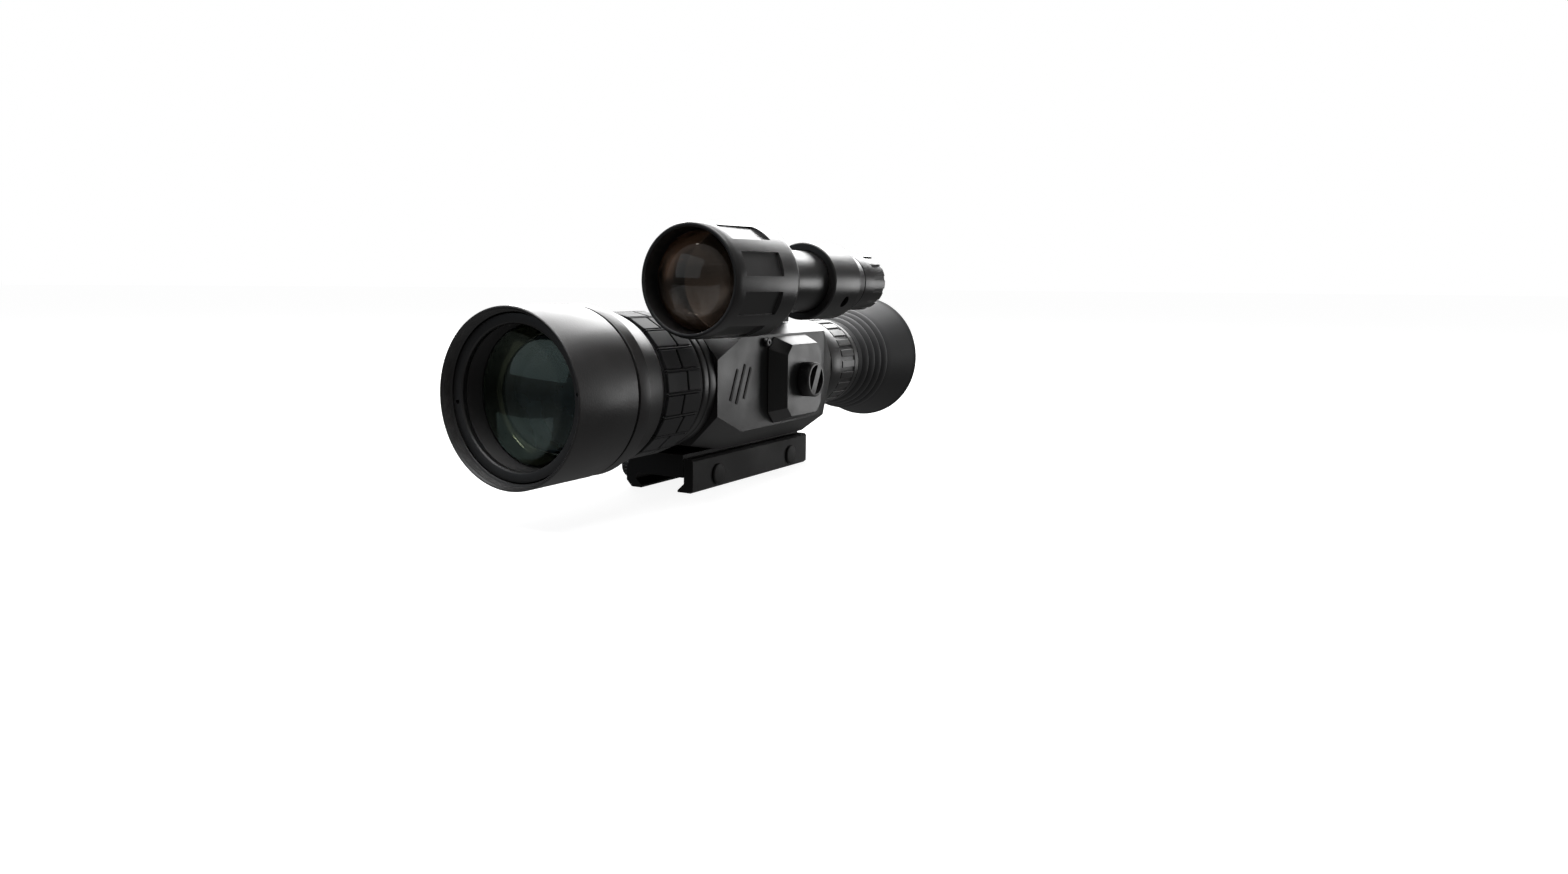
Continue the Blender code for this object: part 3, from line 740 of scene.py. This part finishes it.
def ring_foot():
    """The arm that reaches from the torch's ring down to the rail, and grips it."""
    outline = [
        (-0.6, 63.2), (-0.6, 69.0), (8.0, 77.0), (30.0, 82.0), (30.0, 72.0), (24.0, 67.0),
        (22.6, 63.2), (18.8, 63.2), (20.5, 64.6), (18.2, 66.8), (3.8, 66.8), (1.5, 64.6), (3.2, 63.2),
    ]
    inset = 0.6
    bm = bmesh.new()
    face = bm.faces.new([bm.verts.new(mm((x, inset, z))) for x, z in outline])
    grown = bmesh.ops.extrude_face_region(bm, geom=[face])["geom"]
    moved = [g for g in grown if isinstance(g, bmesh.types.BMVert)]
    bmesh.ops.translate(bm, vec=Vector(mm((0, RING_LENGTH - 2 * inset, 0))), verts=moved)
    foot = place_mesh("ring_foot", bm)
    low, high, radius = -5, 30, RING_R - 1.5
    outline = [(high, 0), (high, radius), (low, radius), (low, 0)]
    carve(foot, lathe("foot_bore", outline, TORCH, steps=96, closed=False, soft=0))
    return foot


def set_screw_well():
    """The round hole in the side of the torch's ring."""
    low, high, radius, below_deg, along = 11.5, 18.5, 2.7, 32, 13.6
    outline = [(high, 0), (high, radius), (low, radius), (low, 0)]
    well = lathe("well", outline, (0, 0), "X", 32, closed=False, soft=0)
    place = Matrix.Translation(mm((TORCH[0], along, TORCH[1])))
    well.data.transform(place @ Matrix.Rotation(math.radians(below_deg), 4, "Y"))
    return well


def torch_ring():
    bore_r = TORCH_TUBE_R + 0.25
    ring = lathe("ring_turned", [
        (0.0, RING_R - 0.5), (0.5, RING_R), (RING_LENGTH - 0.5, RING_R), (RING_LENGTH, RING_R - 0.5),
        (RING_LENGTH, bore_r), (0.0, bore_r),
    ], TORCH)
    carve(ring, ring_foot(), operation="UNION")
    carve(ring, set_screw_well())
    bevelled(ring, 0.3, 2, 40)
    settle(ring, "body", TORCH_ALLOY, "anodised_alloy", "torch_clamp")
    settle(refined("accessory_rail", 0.35), "body", CLAMP_ALLOY, "anodised_alloy", "accessory_rail")


# Parts that keep their plain shapes


def plain_parts():
    screws = [f"cover_screw_{i}" for i in range(1, 5)] + ["base_screw_front", "base_screw_rear"]
    shown = {
        BLACK_ALLOY: ("lens_tube", "focus_cell", "sensor_mount"),
        RUBBER: ("bell_seal",),
        STEEL: ("set_screw", "usb_port", "led_emitter", *screws),
        DEEP_GLASS: ("focus_lens", "field_lens", "image_sensor", "display_panel"),
        BOARD: ("main_board", "sensor_board", "display_board", "contact_board"),
        WRAP: ("cell_1", "cell_2", "cell_3", "cell_4", "torch_cell"),
    }
    for look, nodes in shown.items():
        for node in nodes:
            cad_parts[node].data.materials.clear()
            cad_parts[node].data.materials.append(look)


# Studio


def camera():
    azimuth, elevation, roll = (math.radians(v) for v in CAMERA_TURN)
    level = math.cos(elevation)
    back = Vector((math.sin(azimuth) * level, -math.cos(azimuth) * level, math.sin(elevation)))
    right = Vector((math.cos(azimuth), math.sin(azimuth), 0))
    up = back.cross(right)
    rolled = right * math.cos(roll) + up * math.sin(roll)
    upright = up * math.cos(roll) - right * math.sin(roll)
    data = bpy.data.cameras.new("camera")
    data.sensor_width = 36
    data.lens = CAMERA_LENS
    data.shift_x, data.shift_y = CAMERA_SHIFT
    data.clip_start, data.clip_end = 0.01, 50
    obj = bpy.data.objects.new("camera", data)
    bpy.context.scene.collection.objects.link(obj)
    turn = Matrix((rolled, upright, back)).transposed().to_4x4()
    obj.matrix_world = Matrix.Translation(CAMERA_PLACE) @ turn
    bpy.context.scene.camera = obj


def lamp(name, place, target, size, power, colour=(1, 1, 1)):
    """A soft rectangular light. Places and sizes are in metres, the power in watts."""
    data = bpy.data.lights.new(name, "AREA")
    data.shape = "RECTANGLE"
    data.size, data.size_y = size
    data.energy = power
    data.color = colour
    obj = bpy.data.objects.new(name, data)
    obj.location = place
    obj.visible_camera = False
    obj.rotation_euler = (Vector(target) - Vector(place)).to_track_quat("-Z", "Y").to_euler()
    bpy.context.scene.collection.objects.link(obj)


def room():
    """A white backdrop to the camera, and a dim room in every reflection."""
    world = bpy.data.worlds.new("pale_room")
    world.use_nodes = True
    tree = world.node_tree
    back = tree.nodes["Background"]
    path = tree.nodes.new("ShaderNodeLightPath")
    split = tree.nodes.new("ShaderNodeSeparateXYZ")
    tree.links.new(tree.nodes.new("ShaderNodeTexCoord").outputs["Generated"], split.inputs[0])
    sky = spread(tree, split.outputs["Z"], -0.15, 0.8, 0.03, 0.34)
    bounce = spread(tree, split.outputs["Z"], -0.9, -0.1, 0.26, 0.0)
    height = maths(tree, "ADD", sky, bounce)
    level = tree.nodes.new("ShaderNodeMix")
    tree.links.new(path.outputs["Is Camera Ray"], level.inputs["Factor"])
    tree.links.new(height, level.inputs[FIRST_NUMBER])
    level.inputs[SECOND_NUMBER].default_value = 1.0
    tree.links.new(level.outputs[MIXED_NUMBER], back.inputs["Strength"])
    back.inputs["Color"].default_value = (1, 1, 1, 1)
    return world


def floor():
    bm = bmesh.new()
    bmesh.ops.create_circle(bm, cap_ends=True, radius=14, segments=64)
    obj = place_mesh("floor", bm, recalc=False)
    obj.location.z = mm(FLOOR_Z)
    look = bpy.data.materials.new("pale_floor")
    look.use_nodes = True
    shader = look.node_tree.nodes["Principled BSDF"]
    shader.inputs["Base Color"].default_value = (0.3, 0.3, 0.3, 1)
    shader.inputs["Roughness"].default_value = 0.8
    shader.inputs["Specular IOR Level"].default_value = 0.0
    shader.inputs["Emission Color"].default_value = (1, 1, 1, 1)
    shader.inputs["Emission Strength"].default_value = 0.9
    obj.data.materials.append(look)
    obj.visible_glossy = False
    obj.visible_diffuse = False
    obj.visible_transmission = False


def studio():
    floor()
    bpy.context.scene.world = room()
    bpy.context.scene.view_settings.view_transform = "Standard"
    lamp("top_softbox", (0.0, 0.0, 0.95), (0.0, -0.02, 0.04), (0.9, 1.0), 16)
    lamp("back_softbox", (-0.45, 1.05, 0.66), (0.0, 0.0, 0.06), (1.3, 0.7), 26)
    lamp("side_softbox", (0.66, 1.1, 0.0), (0.03, 0.05, 0.04), (0.5, 0.3), 2.6)
    lamp("low_softbox", (1.1, -0.3, 0.02), (0.0, -0.08, 0.03), (0.3, 0.4), 0.4)
    lamp("lens_softbox", (-0.8, -1.35, 0.66), (0.0, -0.1, 0.04), (1.6, 1.0), 2.4, (0.75, 0.88, 1.0))


bell()
retaining_ring()
objective_glass()
baffle()
focus_ring()
collar()
housing()
side_badge()
corner_screw()
latch()
keys()
diopter()
eyecup()
eyepiece()
clamp()
torch_head()
torch_optics()
torch_body()
tail_cap()
tail_button()
torch_ring()
plain_parts()
camera()
studio()

bpy.context.view_layer.update()
